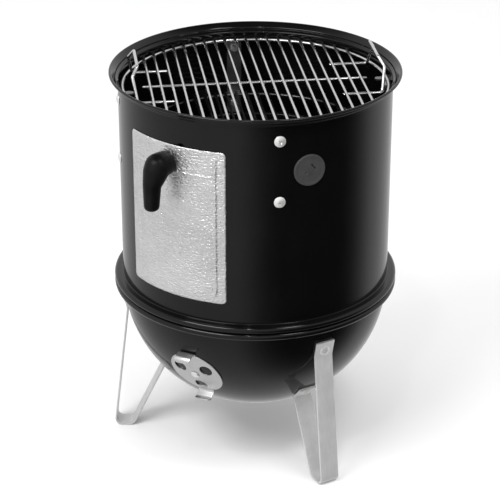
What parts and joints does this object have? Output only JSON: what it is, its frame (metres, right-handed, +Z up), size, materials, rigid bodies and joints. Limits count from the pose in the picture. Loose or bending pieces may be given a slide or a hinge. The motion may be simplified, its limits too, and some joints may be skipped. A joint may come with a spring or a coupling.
{
  "type": "vertical water smoker",
  "caption": "Upright charcoal water smoker: ball-bottomed bowl on strap legs, cylindrical body with a side door, water pan, charcoal ring and wire cooking grates.",
  "frame": {"origin": "on the floor, on the body's vertical axis", "axes": "+Z up along the body's axis, -Y out through the middle of the door, +X to the right when facing the door"},
  "size_m": [0.383, 0.4197, 0.5515],
  "materials": {
    "black_enamel": "glossy porcelain enamel, black",
    "leg_strap": "matte rolled strap",
    "damper_sheet": "satin sheet",
    "door_sheet": "stucco-embossed sheet, satin",
    "screw_plating": "bright nickel plating",
    "bracket_steel": "plated sheet steel",
    "grate_wire": "bright chrome-plated wire",
    "charcoal_steel": "bare rolled steel",
    "knob_plastic": "satin black glass-filled nylon",
    "grommet_rubber": "dark grey silicone"
  },
  "bodies": {
    "base": {"bowl": "black_enamel", "leg_right": "leg_strap", "leg_rear": "leg_strap", "leg_left": "leg_strap", "leg_screws": "screw_plating", "leg_nuts": "screw_plating", "charcoal_supports": "bracket_steel", "damper_rivets": "screw_plating"},
    "damper_front_disc": {"damper_front": "damper_sheet"},
    "damper_rear_disc": {"damper_rear": "damper_sheet"},
    "charcoal_grate": {"charcoal_grate_ring": "charcoal_steel", "charcoal_grate_bars": "charcoal_steel"},
    "charcoal_basket": {"charcoal_ring": "charcoal_steel"},
    "middle": {"middle_section": "black_enamel", "probe_grommet": "grommet_rubber", "bracket_front_right": "bracket_steel", "bracket_rear_right": "bracket_steel", "bracket_rear_left": "bracket_steel", "bracket_front_left": "bracket_steel", "bracket_screws": "screw_plating", "bracket_nuts": "screw_plating"},
    "door": {"door_panel": "door_sheet", "door_ledge": "door_sheet"},
    "latch": {"door_knob": "knob_plastic", "latch_tongue": "bracket_steel", "latch_washer": "screw_plating", "latch_screw": "screw_plating"},
    "pan": {"water_pan": "black_enamel"},
    "lower_grate": {"lower_grate_ring": "grate_wire", "lower_grate_bars": "grate_wire", "lower_grate_cross_bar": "grate_wire"},
    "upper_grate": {"upper_grate_ring": "grate_wire", "upper_grate_bars": "grate_wire", "upper_grate_cross_bar": "grate_wire", "upper_handle_right": "grate_wire", "upper_handle_left": "grate_wire"}
  },
  "joints": [
    {"name": "damper_front_turn", "type": "hinge", "parent": "base", "child": "damper_front_disc", "pos_m": [0.01778, -0.15852, 0.15161], "axis": [0.0988, -0.8807, -0.4633], "continuous": true},
    {"name": "damper_rear_turn", "type": "hinge", "parent": "base", "child": "damper_rear_disc", "pos_m": [-0.14617, 0.06386, 0.15161], "axis": [-0.8121, 0.3548, -0.4633], "continuous": true},
    {"name": "charcoal_grate_lift", "type": "slide", "parent": "base", "child": "charcoal_grate", "axis": [0, 0, 1], "range_m": [0, 0.1]},
    {"name": "charcoal_ring_lift", "type": "slide", "parent": "charcoal_grate", "child": "charcoal_basket", "axis": [0, 0, 1], "range_m": [0, 0.09]},
    {"name": "middle_lift", "type": "slide", "parent": "charcoal_basket", "child": "middle", "axis": [0, 0, 1], "range_m": [0, 0.08]},
    {"name": "water_pan_lift", "type": "slide", "parent": "middle", "child": "pan", "axis": [0, 0, 1], "range_m": [0, 0.23]},
    {"name": "lower_grate_lift", "type": "slide", "parent": "pan", "child": "lower_grate", "axis": [0, 0, 1], "range_m": [0, 0.12]},
    {"name": "upper_grate_lift", "type": "slide", "parent": "lower_grate", "child": "upper_grate", "axis": [0, 0, 1], "range_m": [0, 0.05]},
    {"name": "door_tilt", "type": "hinge", "parent": "middle", "child": "door", "pos_m": [0, -0.1815, 0.273], "axis": [1, 0, 0], "range_deg": [0, 75]},
    {"name": "latch_turn", "type": "hinge", "parent": "door", "child": "latch", "pos_m": [-0.00628, -0.17989, 0.456], "axis": [-0.0349, -0.9994, 0], "range_deg": [0, 90]}
  ]
}
